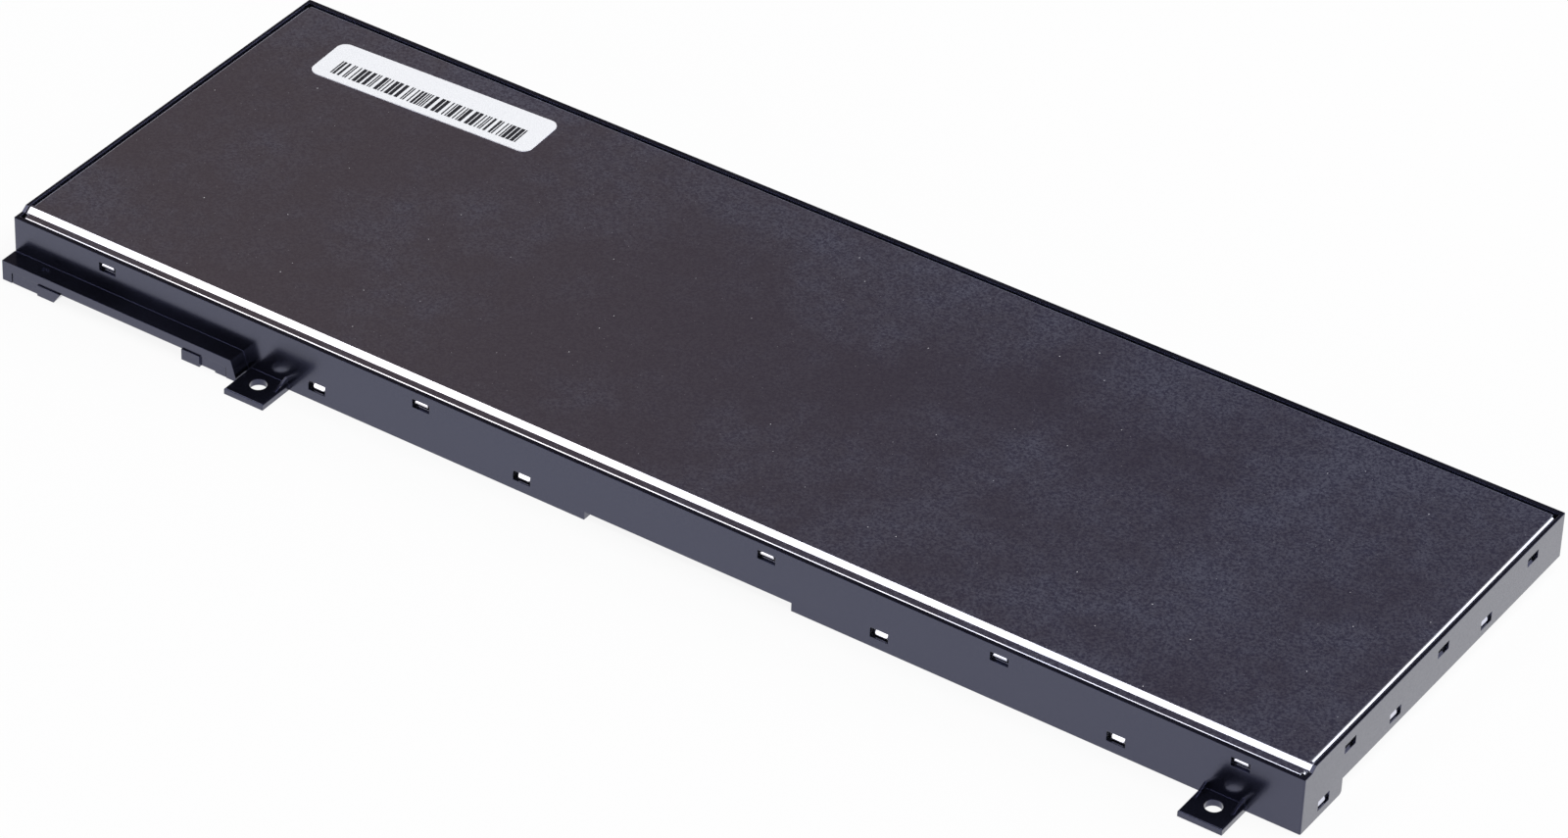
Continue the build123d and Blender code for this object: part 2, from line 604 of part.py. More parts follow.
# Protection board on the shelves, the pegs and the ledge
with BuildPart() as protection_board:
    block((-BOARD_END, BOARD_FRONT, BOARD_BOTTOM), (BOARD_END, BOARD_BACK, BOARD_TOP))
    for station in SHELF_STATIONS:
        with Locations((LEFT + station * LENGTH, FRONT + FRONT_WALL + PEG_REACH, BOARD_BOTTOM)):
            Cylinder(
                PEG_RADIUS + PEG_CLEAR,
                BOARD_THICK,
                align=(Align.CENTER, Align.CENTER, Align.MIN),
                mode=Mode.SUBTRACT,
            )
protection_board.part.label = "protection_board"
export_step(protection_board.part, "parts/protection_board.step")


def board_x(station):
    """A place along the board, as a share of its length."""
    return (2 * station - 1) * BOARD_END


def soldered(name, size, places):
    """Parts of one kind standing on the board, written as one node."""
    with BuildPart() as parts:
        with Locations(*[(x, y, BOARD_TOP) for x, y in places]):
            Box(*size, align=(Align.CENTER, Align.CENTER, Align.MIN))
        chamfer(parts.faces().group_by(Axis.Z)[-1].edges(), CHIP_CHAMFER)
    parts.part.label = name
    export_step(parts.part, f"parts/{name}.step")


PART_Y = BOARD_FRONT + PART_ROW
soldered("gauge_chip", GAUGE_CHIP, [(board_x(GAUGE_STATION), PART_Y)])
soldered("sense_resistor", SENSE_RESISTOR, [(board_x(SENSE_STATION), PART_Y)])
soldered("safety_fuse", FUSE, [(board_x(FUSE_STATION), PART_Y)])
soldered("switch_transistors", TRANSISTOR, [(board_x(s), PART_Y) for s in TRANSISTOR_STATIONS])
soldered("thermistor", THERMISTOR, [(board_x(THERMISTOR_STATION), BOARD_BACK - THERMISTOR_FROM_BACK)])
soldered(
    "chip_capacitors",
    CAPACITOR,
    [
        (board_x(s) + column * CAPACITOR_PITCH, PART_Y + (row - (CAPACITOR_ROWS - 1) / 2) * CAPACITOR_PITCH)
        for s in CAPACITOR_STATIONS
        for column in range(CAPACITOR_COLUMNS)
        for row in range(CAPACITOR_ROWS)
    ],
)


# Connector housing under the bar: two end blocks with uneven feet, and a strip between them
with BuildPart() as connector_housing:
    left_block_end = HOUSING_LEFT + END_BLOCK
    right_block_start = HOUSING_RIGHT - END_BLOCK
    left_foot = [
        (left_block_end - LEFT_FOOT, 0),
        (left_block_end, 0),
        (left_block_end + LEFT_FOOT_LEAN, BAR_BOTTOM),
        (left_block_end - LEFT_FOOT, BAR_BOTTOM),
    ]
    right_foot_end = right_block_start + RIGHT_FOOT
    right_block = [
        (right_foot_end, BLOCK_RELIEF_RISE),
        (right_foot_end + BLOCK_RELIEF, BLOCK_RELIEF_RISE),
        (right_foot_end + BLOCK_RELIEF, 0),
        (HOUSING_RIGHT, 0),
        (HOUSING_RIGHT, BAR_BOTTOM),
        (right_foot_end, BAR_BOTTOM),
    ]
    left_block = upright(HOUSING_LEFT, left_block_end, 0, BAR_BOTTOM)
    right_foot = upright(right_block_start, right_foot_end, 0, BAR_BOTTOM)
    block_depth = BAR_REACH - HOUSING_SETBACK
    for outline, depth in (
        (left_block, block_depth),
        (right_block, block_depth),
        (left_foot, block_depth + FOOT_PROUD),
        (right_foot, block_depth + FOOT_PROUD),
    ):
        prism(Plane.XZ.offset(-(FRONT - depth / 2)), outline, depth / 2)
    block((left_block_end, FRONT - WEB_DEPTH, WEB_BOTTOM), (right_block_start, FRONT, BAR_BOTTOM))
    with GridLocations(CONTACT_PITCH, 1, CONTACT_COUNT, 1):
        with Locations((CONTACT_MIDDLE, FRONT, WEB_BOTTOM)):
            Box(
                CONTACT_WIDTH + 2 * CONTACT_CLEAR,
                CONTACT_REACH + CONTACT_THICK + CONTACT_CLEAR,
                BAR_BOTTOM - WEB_BOTTOM,
                align=(Align.CENTER, Align.MAX, Align.MIN),
                mode=Mode.SUBTRACT,
            )
connector_housing.part.label = "connector_housing"
export_step(connector_housing.part, "parts/connector_housing.step")


# Contacts: strips from under the board, down, out through the wall and down again in the housing
upright_y = BOARD_FRONT + CONTACT_FROM_EDGE
contact_path = [
    (upright_y, BOARD_BOTTOM),
    (upright_y, CONTACT_LEVEL),
    (FRONT - CONTACT_REACH, CONTACT_LEVEL),
    (FRONT - CONTACT_REACH, CONTACT_BOTTOM),
]
with BuildPart() as contact:
    bent_strip(Plane.YZ, contact_path, CONTACT_BEND, CONTACT_THICK, Side.RIGHT, CONTACT_WIDTH / 2)

with BuildPart() as connector_contacts:
    with Locations((CONTACT_MIDDLE, 0, 0)):
        with GridLocations(CONTACT_PITCH, 1, CONTACT_COUNT, 1):
            add(contact.part)
connector_contacts.part.label = "connector_contacts"
export_step(connector_contacts.part, "parts/connector_contacts.step")


# Adhesive under the cells and foam over them
for pad_name, pad_bottom, pad_thick in (
    ("cell_adhesive", CELL_BOTTOM - ADHESIVE, ADHESIVE),
    ("cell_foam", CELL_TOP, FOAM),
):
    with BuildPart() as pads:
        pad_front = CELL_FRONT + TERRACE + PAD_INSET
        with Locations(*[(cell_x, pad_front, pad_bottom) for cell_x in CELL_MIDDLES]):
            Box(
                CELL_WIDTH - 2 * PAD_INSET,
                CELL_BACK - CELL_FRONT - TERRACE - 2 * PAD_INSET,
                pad_thick,
                align=(Align.CENTER, Align.MIN, Align.MIN),
            )
    pads.part.label = pad_name
    export_step(pads.part, f"parts/{pad_name}.step")


# Insulating films that keep the board clear of the two covers
film_end = SHEET_END - SHEET - END_BEND - FILM_CLEAR
with BuildPart() as upper_film:
    film_top = PANEL_TOP - SHEET
    block((-film_end, RAMP_HEAD + FILM_CLEAR, film_top - FILM), (film_end, BAY_BACK, film_top))
upper_film.part.label = "upper_film"
export_step(upper_film.part, "parts/upper_film.step")

with BuildPart() as lower_film:
    film_bottom = BAY_BOTTOM + SHEET
    film_front = FRONT + NOTCH_CHEEK + NOTCH_CLEARANCE + FILM_CLEAR
    film_back = SHEET_STEP - SHEET - CREASE - FILM_CLEAR
    block((-film_end, film_front, film_bottom), (film_end, film_back, film_bottom + FILM))
lower_film.part.label = "lower_film"
export_step(lower_film.part, "parts/lower_film.step")


# Code label on the top cover, stuck on a little askew
with BuildPart() as code_label:
    with BuildSketch(Plane.XY.offset(PANEL_TOP)):
        with Locations((LEFT + CODE_LABEL_FROM_LEFT, BACK - CODE_LABEL_FROM_BACK)):
            RectangleRounded(*CODE_LABEL, CODE_LABEL_CORNER, rotation=CODE_LABEL_TURN)
    extrude(amount=LABEL_THICK)
code_label.part.label = "code_label"
export_step(code_label.part, "parts/code_label.step")


# Bare rating label under the cells, inside the rim of the bottom cover
with BuildPart() as rating_label:
    rating_front = BAY_BACK + RATING_LABEL_INSET
    rating_back = SHEET_BACK - RATING_LABEL_INSET
    with BuildSketch(Plane.XY.offset(PANEL_BOTTOM)):
        with Locations((0, (rating_front + rating_back) / 2)):
            RectangleRounded(
                2 * (SHEET_END - RATING_LABEL_INSET), rating_back - rating_front, RATING_LABEL_CORNER
            )
    extrude(amount=-LABEL_THICK)
rating_label.part.label = "rating_label"
export_step(rating_label.part, "parts/rating_label.step")
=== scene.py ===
# %% [markdown]
# # A flat laptop battery pack
#
# The pack is a black moulded frame with a steel cover clipped into each face. Its solids come from the
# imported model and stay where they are. This lesson gives every one of them a finish, prints the bars on
# its label, and sets up the camera, the floor and the light of a small product studio.

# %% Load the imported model
import json
import math
import bpy
import numpy as np
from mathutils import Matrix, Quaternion, Vector


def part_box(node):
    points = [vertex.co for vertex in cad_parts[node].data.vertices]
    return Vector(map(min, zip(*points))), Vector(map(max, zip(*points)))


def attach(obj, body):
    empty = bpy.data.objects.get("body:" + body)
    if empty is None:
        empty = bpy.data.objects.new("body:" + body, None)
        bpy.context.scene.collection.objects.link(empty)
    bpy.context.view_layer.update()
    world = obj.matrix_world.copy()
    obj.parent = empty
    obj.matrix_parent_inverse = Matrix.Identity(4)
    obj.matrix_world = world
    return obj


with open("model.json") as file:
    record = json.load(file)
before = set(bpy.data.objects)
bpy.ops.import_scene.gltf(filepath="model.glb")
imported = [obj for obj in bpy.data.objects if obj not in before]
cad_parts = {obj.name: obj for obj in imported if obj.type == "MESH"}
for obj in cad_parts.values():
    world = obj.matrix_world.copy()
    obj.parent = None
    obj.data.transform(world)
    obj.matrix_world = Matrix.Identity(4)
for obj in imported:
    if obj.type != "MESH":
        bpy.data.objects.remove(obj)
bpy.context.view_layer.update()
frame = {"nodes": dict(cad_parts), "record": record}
nodes = frame["nodes"]
MM = 0.001

# %% [markdown]
# ## Camera
#
# A long lens far away keeps the pack's long edges almost parallel. The camera could be placed by eye, but
# the three directions of a box give its angles exactly: how far round it stands, how high, and how much
# it is rolled. So it is set by those angles, its distance and the point that it looks at.

# %% Place the camera
CAMERA_AZIMUTH = math.radians(32.592)
CAMERA_ELEVATION = math.radians(36.475)
CAMERA_ROLL = math.radians(2.267)
CAMERA_DISTANCE = 1186.25 * MM
CAMERA_AIM = Vector((8.43, -4.41, 8.0)) * MM
CAMERA_LENS = 156.81


def direction(azimuth, elevation):
    """Unit vector from the object towards a place: azimuth 0 is in front, at -y, and grows towards +x."""
    level = math.cos(elevation)
    return Vector((math.sin(azimuth) * level, -math.cos(azimuth) * level, math.sin(elevation)))


camera_data = bpy.data.cameras.new("camera")
camera_data.lens = CAMERA_LENS
camera_data.clip_start = 0.01
camera_data.clip_end = 50.0
camera = bpy.data.objects.new("camera", camera_data)
bpy.context.scene.collection.objects.link(camera)
bpy.context.scene.camera = camera
towards_camera = direction(CAMERA_AZIMUTH, CAMERA_ELEVATION)
camera.location = CAMERA_AIM + towards_camera * CAMERA_DISTANCE
camera.rotation_mode = "QUATERNION"
camera.rotation_quaternion = (-towards_camera).to_track_quat("-Z", "Y") @ Quaternion((0, 0, 1), CAMERA_ROLL)
print("camera at", [round(value, 3) for value in camera.location])

# %% [markdown]
# ## Building node trees
#
# A finish is a small tree of shader nodes. Wiring them one by one in the editor is fine for one material,
# but here there are sixteen, so a few helpers do the repeated work. `put` adds any node and fills its
# inputs, either with a number or with the output of another node. The others name the steps that the
# finishes share: a noise, a change of range, a mix of two colours, a step of arithmetic, and a place that
# is stretched or turned. Most values of a noise lie in `NOISE_SPAN`, so that is the range to start from.

# %% Helpers for node trees
NOISE_SPAN = (0.3, 0.7)


def put(tree, kind, inputs=(), **options):
    """Adds a node: options are its own settings, inputs are values or output sockets of other nodes."""
    node = tree.nodes.new(kind)
    for option, value in options.items():
        setattr(node, option, value)
    for socket, value in dict(inputs).items():
        if isinstance(value, bpy.types.NodeSocket):
            tree.links.new(value, node.inputs[socket])
        else:
            node.inputs[socket].default_value = value
    return node


def noise(tree, place, scale, detail=3.0, roughness=0.55):
    """Output of a noise texture, from 0 to 1, with this many waves to the metre."""
    settings = {"Vector": place, "Scale": scale, "Detail": detail, "Roughness": roughness}
    return put(tree, "ShaderNodeTexNoise", settings).outputs["Fac"]


def remap(tree, value, low, high, to_low=0.0, to_high=1.0):
    """Maps a value smoothly from one range to another."""
    ends = {"Value": value, "From Min": low, "From Max": high, "To Min": to_low, "To Max": to_high}
    return put(tree, "ShaderNodeMapRange", ends, interpolation_type="SMOOTHSTEP").outputs["Result"]


def blend(tree, share, first, second):
    """Mixes two colours by a share from 0 to 1. Sockets 6, 7 and 2 of the node are its colour ones."""
    made = put(tree, "ShaderNodeMix", data_type="RGBA")
    for socket, value in ((made.inputs[0], share), (made.inputs[6], first), (made.inputs[7], second)):
        if isinstance(value, bpy.types.NodeSocket):
            tree.links.new(value, socket)
        else:
            socket.default_value = (*value, 1.0)
    return made.outputs[2]


def calculate(tree, operation, first, second=0.0):
    """One arithmetic step."""
    return put(tree, "ShaderNodeMath", {0: first, 1: second}, operation=operation).outputs[0]


def stretched(tree, place, scale, turn=0.0):
    """The place on the surface, stretched along each axis and turned about the upright one."""
    settings = {"Vector": place, "Rotation": (0.0, 0.0, math.radians(turn)), "Scale": scale}
    return put(tree, "ShaderNodeMapping", settings).outputs["Vector"]


# %% [markdown]
# ## What every finish has in common
#
# Real surfaces differ from a flat colour in three ways: the colour drifts a little, the gloss drifts with
# it, and there is a fine relief. `start_finish` makes the material and `link_finish` joins those three to
# the shader. The relief is a bump, because its waves are hundredths of a millimetre high. Edges that a
# mould or a press would leave slightly round get a Bevel node, which bends the normal near an edge and
# adds no faces.

# %% Helpers for finishes
finishes = {}


def start_finish(name):
    """Keeps a new material under its name, and gives its tree, its shader and the place on the surface."""
    material = bpy.data.materials.new(f"{name}_finish")
    material.use_nodes = True
    finishes[name] = material
    tree = material.node_tree
    place = put(tree, "ShaderNodeTexCoord").outputs["Object"]
    return tree, tree.nodes["Principled BSDF"], place


def link_finish(tree, shader, colour, gloss, relief, depth, edge=0.0):
    """Joins colour, roughness and a relief of this depth to the shader, and rounds edges by a radius."""
    tree.links.new(colour, shader.inputs["Base Color"])
    tree.links.new(gloss, shader.inputs["Roughness"])
    bump = put(tree, "ShaderNodeBump", {"Height": relief, "Strength": 1.0, "Distance": depth})
    if edge:
        rounded = put(tree, "ShaderNodeBevel", {"Radius": edge}, samples=4)
        tree.links.new(rounded.outputs["Normal"], bump.inputs["Normal"])
    tree.links.new(bump.outputs["Normal"], shader.inputs["Normal"])


def settle(shader, **values):
    """Sets inputs of the shader that are the same all over the surface, such as IOR or Metallic."""
    for socket, value in values.items():
        shader.inputs[socket.replace("_", " ")].default_value = value


# %% [markdown]
# ## Black moulded plastic
#
# The frame is a black plastic moulding with a smooth satin skin. Its colour hardly shows: what the eye
# sees is the white floor mirrored in the walls, slightly blurred and slightly blue. So the colour is
# almost black, and the work goes into the gloss. A clear coat over the plastic mirrors more at a glancing
# angle, as the end walls do, and a fine grain in the relief and in the coat breaks up the mirror image.

# %% Make the plastic
PLASTIC_COLOUR = (0.002, 0.0022, 0.0032)
PLASTIC_COLOUR_WORN = (0.0034, 0.0037, 0.0052)
PLASTIC_TINT = (0.4, 0.44, 1.0, 1.0)
PLASTIC_EDGE = 0.22 * MM
PLASTIC_GLOSS = (0.2, 0.26)
CLOUD_WAVES = 60.0
CLOUD_SPAN = (0.35, 0.75)
COAT_WEIGHT = (0.84, 1.0)
COAT_WAVES_RATIO = 0.7
GRAIN_DEPTH = 0.004 * MM


def moulded_plastic(name, grain_waves):
    """Black plastic: clouds change its colour and gloss by a little, and a fine noise is its grain."""
    tree, shader, place = start_finish(name)
    clouds = noise(tree, place, CLOUD_WAVES)
    colour = blend(tree, remap(tree, clouds, *CLOUD_SPAN), PLASTIC_COLOUR, PLASTIC_COLOUR_WORN)
    gloss = remap(tree, clouds, *NOISE_SPAN, *PLASTIC_GLOSS)
    grain = noise(tree, place, grain_waves, detail=2.0)
    link_finish(tree, shader, colour, gloss, grain, GRAIN_DEPTH, PLASTIC_EDGE)
    coat_grain = noise(tree, place, COAT_WAVES_RATIO * grain_waves, detail=1.0)
    coat = remap(tree, coat_grain, *NOISE_SPAN, *COAT_WEIGHT)
    tree.links.new(coat, shader.inputs["Coat Weight"])
    settle(shader, IOR=1.7, Specular_Tint=PLASTIC_TINT, Coat_Roughness=0.15, Coat_IOR=1.45)


moulded_plastic("frame_plastic", grain_waves=3800.0)
moulded_plastic("connector_plastic", grain_waves=2600.0)
print("finishes so far:", *finishes)

# %% [markdown]
# ## Satin steel
#
# The covers are thin stainless sheet with a dull rolled finish. A flat sheet shows whatever it faces, so
# here it shows the dark side of the studio, and its bends show the lamps as white lines. Handling leaves
# a dusty film in patches, a few hairline scratches and specks of dust. Each of these is a mask from a
# texture: the film is a cloudy noise, the scratches a noise stretched into hairs, and the specks are the
# middles of a few cells of a Voronoi pattern. The masks then raise the roughness, and where dust lies the
# surface is less of a metal.

# %% Make the masks
HAIR_STRETCH = (60.0, 4200.0, 1.0)
HAIR_CRESTS = (0.74, 0.82)
DOT_CORE = 0.4
DOT_FAINTEST = 0.1
FILM_WAVES = 34.0
FILM_SPAN = (0.36, 0.8)
FILM_RANGE = (0.2, 1.1)
FILM_RIGHT = (0.0, 0.135)
FILM_RIGHT_GAIN = (-0.06, 0.11)
FILM_BACK = (0.022, 0.045)
FILM_BACK_GAIN = (0.0, 0.16)


def dust_specks(tree, place, cell, radius, share, strongest):
    """Small dots in the middle of a share of the Voronoi cells, dimmed by the cell's own random colour."""
    cells = put(
        tree,
        "ShaderNodeTexVoronoi",
        {"Vector": place, "Scale": 1.0 / cell},
        voronoi_dimensions="2D",
    )
    dots = remap(tree, cells.outputs["Distance"], DOT_CORE * radius / cell, radius / cell, 1.0, 0.0)
    channels = put(tree, "ShaderNodeSeparateColor", {"Color": cells.outputs["Color"]})
    chosen = calculate(tree, "LESS_THAN", channels.outputs["Red"], share)
    strength = remap(tree, channels.outputs["Green"], 0.0, 1.0, DOT_FAINTEST * strongest, strongest)
    return calculate(tree, "MULTIPLY", dots, calculate(tree, "MULTIPLY", chosen, strength))


def hairlines(tree, place, turn):
    """Hairline scratches: the rare crests of a noise that is stretched a long way in one direction."""
    hair = stretched(tree, place, HAIR_STRETCH, turn)
    return remap(tree, noise(tree, hair, 1.0, detail=1.0), *HAIR_CRESTS)


def handling_film(tree, place):
    """A thin dusty film: cloudy noise, denser to the right and along the back edge."""
    axes = put(tree, "ShaderNodeSeparateXYZ", {"Vector": place}).outputs
    clouds = noise(tree, place, FILM_WAVES, detail=10.0, roughness=0.74)
    clouds = calculate(tree, "ADD", clouds, remap(tree, axes["X"], *FILM_RIGHT, *FILM_RIGHT_GAIN))
    clouds = calculate(tree, "ADD", clouds, remap(tree, axes["Y"], *FILM_BACK, *FILM_BACK_GAIN))
    return remap(tree, clouds, *FILM_SPAN, *FILM_RANGE)


# %% Make the steel
STEEL_COLOUR = (0.8, 0.765, 0.775)
STEEL_FILM = (0.66, 0.69, 0.84)
DUST_COLOUR = (0.8, 0.8, 0.82)
FILM_SCATTER = 0.036
FILM_GRAIN_WAVES = 2100.0
STEEL_GLOSS = (0.09, 0.14)
STEEL_EDGE = 0.12 * MM
ROLLED_WAVES = 2600.0
ROLLED_DEPTH = 0.003 * MM
SCRATCH_TURNS = (28.0, -51.0)
SCRATCH_DULLING = 0.07
SPECK_DULLING = 0.5
COARSE_DUST = {"cell": 5.0 * MM, "radius": 0.13 * MM, "share": 0.08, "strongest": 0.9}
FINE_DUST = {"cell": 1.6 * MM, "radius": 0.1 * MM, "share": 0.12, "strongest": 0.22}


def satin_steel(name):
    """Dull rolled stainless sheet with a dusty film, hairline scratches and specks of dust."""
    tree, shader, place = start_finish(name)
    film = handling_film(tree, place)
    specks = calculate(
        tree,
        "MAXIMUM",
        dust_specks(tree, place, **COARSE_DUST),
        dust_specks(tree, place, **FINE_DUST),
    )
    scratches = calculate(tree, "MAXIMUM", *(hairlines(tree, place, turn) for turn in SCRATCH_TURNS))
    colour = blend(tree, specks, blend(tree, film, STEEL_COLOUR, STEEL_FILM), DUST_COLOUR)
    rough = remap(tree, film, 0.0, FILM_RANGE[1], *STEEL_GLOSS)
    rough = calculate(tree, "ADD", rough, calculate(tree, "MULTIPLY", scratches, SCRATCH_DULLING))
    rough = calculate(tree, "ADD", rough, calculate(tree, "MULTIPLY", specks, SPECK_DULLING))
    rolled = noise(tree, place, ROLLED_WAVES, detail=2.0)
    link_finish(tree, shader, colour, rough, rolled, ROLLED_DEPTH, STEEL_EDGE)
    grain = noise(tree, place, FILM_GRAIN_WAVES, detail=2.0)
    grain = remap(tree, grain, *NOISE_SPAN, 0.0, 2.0 * FILM_SCATTER)
    scatter = calculate(tree, "ADD", calculate(tree, "MULTIPLY", film, grain), specks)
    tree.links.new(calculate(tree, "SUBTRACT", 1.0, scatter), shader.inputs["Metallic"])


satin_steel("cover_steel")
print("finishes so far:", len(finishes))

# %% [markdown]
# ## Paper and ink
#
# The code label is coated white paper, and the bars on it are printed ink. Paper isn't one white: its
# fibres make a faint mottle. The label on the underside is a dark grey film with the same kind of mottle,
# so one function makes all three, each from its own two colours.


# %% Make the paper and the ink
def mottled(name, base, fleck, waves, gloss, depth):
    """Two close colours mixed by a fibrous noise, which also sets the gloss and the relief."""
    tree, shader, place = start_finish(name)
    fibres = noise(tree, place, waves, detail=4.0, roughness=0.65)
    colour = blend(tree, remap(tree, fibres, *NOISE_SPAN), base, fleck)
    link_finish(tree, shader, colour, remap(tree, fibres, *NOISE_SPAN, *gloss), fibres, depth)


mottled(
    "label_white", base=(0.9, 0.915, 0.95), fleck=(0.86, 0.875, 0.915),
    waves=900.0, gloss=(0.42, 0.55), depth=0.004 * MM,
)
mottled(
    "label_dark", base=(0.05, 0.052, 0.058), fleck=(0.036, 0.038, 0.044),
    waves=700.0, gloss=(0.38, 0.5), depth=0.004 * MM,
)
mottled(
    "bar_ink", base=(0.005, 0.005, 0.009), fleck=(0.014, 0.014, 0.021),
    waves=1500.0, gloss=(0.4, 0.6), depth=0.002 * MM,
)
print("finishes so far:", len(finishes))

# %% [markdown]
# ## Pouch foil
#
# Each cell is wrapped in soft aluminium laminate. Vacuum pulls it tight, so it shows shallow creases and
# a fine pebble. A Voronoi pattern with smooth cells gives the pebble, and a larger noise gives the
# creases.

# %% Make the foil
FOIL_BRIGHT = (0.66, 0.67, 0.69)
FOIL_DULL = (0.56, 0.57, 0.6)
FOIL_GLOSS = (0.34, 0.46)
FOIL_DEPTH = 0.02 * MM
CREASE_WAVES = 90.0
CREASE_HEIGHT = 6.0
PEBBLE_WAVES = 1400.0


def pouch_foil(name):
    """Dull aluminium laminate with a pebbled skin and shallow creases."""
    tree, shader, place = start_finish(name)
    creases = noise(tree, place, CREASE_WAVES, detail=5.0, roughness=0.6)
    pebble = put(
        tree,
        "ShaderNodeTexVoronoi",
        {"Vector": place, "Scale": PEBBLE_WAVES, "Smoothness": 1.0},
        feature="SMOOTH_F1",
    ).outputs["Distance"]
    relief = calculate(tree, "ADD", calculate(tree, "MULTIPLY", creases, CREASE_HEIGHT), pebble)
    colour = blend(tree, remap(tree, creases, *NOISE_SPAN), FOIL_BRIGHT, FOIL_DULL)
    gloss = remap(tree, creases, *NOISE_SPAN, *FOIL_GLOSS)
    link_finish(tree, shader, colour, gloss, relief, FOIL_DEPTH)
    settle(shader, Metallic=1.0)


pouch_foil("cell_foil")
print("finishes so far:", len(finishes))

# %% [markdown]
# ## Rolled strips and plated contacts
#
# The terminals, the weld plates and the contacts are cut from rolled strip. Rolling leaves fine lines
# along the strip, which is a noise stretched in that direction. The metals differ only in colour and
# gloss: aluminium for one terminal of each cell, nickel for the other, and a thin gold plating on the
# contacts.

# %% Make the strips
STRIP_STRETCH = (5200.0, 180.0, 5200.0)
STRIP_GLOSS_DRIFT = 0.12
STRIP_DEPTH = 0.003 * MM


def rolled_strip(name, bright, dull, gloss):
    """Metal strip with fine rolling lines along the pack's depth."""
    tree, shader, place = start_finish(name)
    lines = noise(tree, stretched(tree, place, STRIP_STRETCH), 1.0)
    colour = blend(tree, remap(tree, lines, *NOISE_SPAN), bright, dull)
    rough = remap(tree, lines, *NOISE_SPAN, gloss, gloss + STRIP_GLOSS_DRIFT)
    link_finish(tree, shader, colour, rough, lines, STRIP_DEPTH)
    settle(shader, Metallic=1.0)


rolled_strip("terminal_aluminium", bright=(0.84, 0.85, 0.86), dull=(0.74, 0.75, 0.77), gloss=0.3)
rolled_strip("terminal_nickel", bright=(0.68, 0.64, 0.57), dull=(0.56, 0.53, 0.48), gloss=0.26)
rolled_strip("contact_metal", bright=(0.95, 0.72, 0.32), dull=(0.84, 0.6, 0.25), gloss=0.22)
print("finishes so far:", len(finishes))

# %% [markdown]
# ## Board, chips and ceramics
#
# The board is woven glass under a green lacquer. Two sine waves across each other, one for each direction
# of the yarn, give the weave. The chips are moulded in black epoxy with a coarse matt grain, and the fuse
# and the capacitors are sintered ceramic with small darker grains.

# %% Make the board
WEAVE_PITCH = 0.5 * MM
WEAVE_SHADE = 0.25
WEAVE_DEPTH = 0.004 * MM
LACQUER_DARK = (0.012, 0.075, 0.035)
LACQUER_LIGHT = (0.02, 0.12, 0.055)
LACQUER_SPAN = (0.2, 0.8)
LACQUER_GLOSS = (0.26, 0.36)
LACQUER_WAVES = 150.0


def lacquered_weave(name):
    """Green lacquer over woven glass: the weave is the product of a sine wave along each yarn."""
    tree, shader, place = start_finish(name)
    axes = put(tree, "ShaderNodeSeparateXYZ", {"Vector": place}).outputs
    waves = [
        calculate(tree, "SINE", calculate(tree, "MULTIPLY", axes[axis], 2.0 * math.pi / WEAVE_PITCH))
        for axis in ("X", "Y")
    ]
    weave = calculate(tree, "MULTIPLY", *waves)
    drift = noise(tree, place, LACQUER_WAVES)
    shade = calculate(tree, "ADD", calculate(tree, "MULTIPLY", weave, WEAVE_SHADE), drift)
    colour = blend(tree, remap(tree, shade, *LACQUER_SPAN), LACQUER_DARK, LACQUER_LIGHT)
    gloss = remap(tree, drift, *NOISE_SPAN, *LACQUER_GLOSS)
    link_finish(tree, shader, colour, gloss, weave, WEAVE_DEPTH)


lacquered_weave("board_laminate")
mottled(
    "chip_black", base=(0.018, 0.018, 0.019), fleck=(0.032, 0.032, 0.033),
    waves=2600.0, gloss=(0.5, 0.66), depth=0.01 * MM,
)
mottled(
    "chip_ceramic", base=(0.42, 0.33, 0.22), fleck=(0.3, 0.22, 0.14),
    waves=3200.0, gloss=(0.36, 0.5), depth=0.006 * MM,
)
print("finishes so far:", len(finishes))

# %% [markdown]
# ## Tape, foam and film
#
# Milky tape holds the cells to the lower cover, black foam fills the gap over them, and an amber film
# keeps the board clear of the steel. Foam is a mass of open bubbles, so its relief is the distance from
# the middles of small Voronoi cells, and those middles are painted darker, as shade in each hollow. Tape
# and film are smooth, with the faint waves of something that was rolled up.

# %% Make the soft layers
# The first colour is painted shade, for the bottom of each bubble's hollow.
FOAM_HOLLOW_SHADE = (0.008, 0.008, 0.009)
FOAM_WALL = (0.035, 0.035, 0.037)
FOAM_GLOSS = (0.95, 0.8)
FOAM_DEPTH = 0.12 * MM
BUBBLE_WAVES = 3200.0
BUBBLE_SPAN = (0.1, 0.7)


def open_foam(name):
    """Black foam: each bubble is a Voronoi cell, with painted shade in its middle and lighter walls."""
    tree, shader, place = start_finish(name)
    cells = put(tree, "ShaderNodeTexVoronoi", {"Vector": place, "Scale": BUBBLE_WAVES})
    bubbles = cells.outputs["Distance"]
    # Painted shade: the colour darkens towards each bubble's middle, the bottom of its hollow.
    colour = blend(tree, remap(tree, bubbles, *BUBBLE_SPAN), FOAM_HOLLOW_SHADE, FOAM_WALL)
    gloss = remap(tree, bubbles, *BUBBLE_SPAN, *FOAM_GLOSS)
    link_finish(tree, shader, colour, gloss, bubbles, FOAM_DEPTH)


mottled(
    "adhesive_film", base=(0.74, 0.74, 0.7), fleck=(0.64, 0.64, 0.61),
    waves=260.0, gloss=(0.3, 0.45), depth=0.01 * MM,
)
mottled(
    "insulating_film", base=(0.4, 0.2, 0.035), fleck=(0.31, 0.14, 0.02),
    waves=120.0, gloss=(0.16, 0.26), depth=0.02 * MM,
)
open_foam("foam_black")
print("finishes so far:", len(finishes))

# %% [markdown]
# ## Dress the solids
#
# Each solid has one material slot, and the record already says which finish it takes. The finishes above
# are kept under those names, so they can be handed out by name.

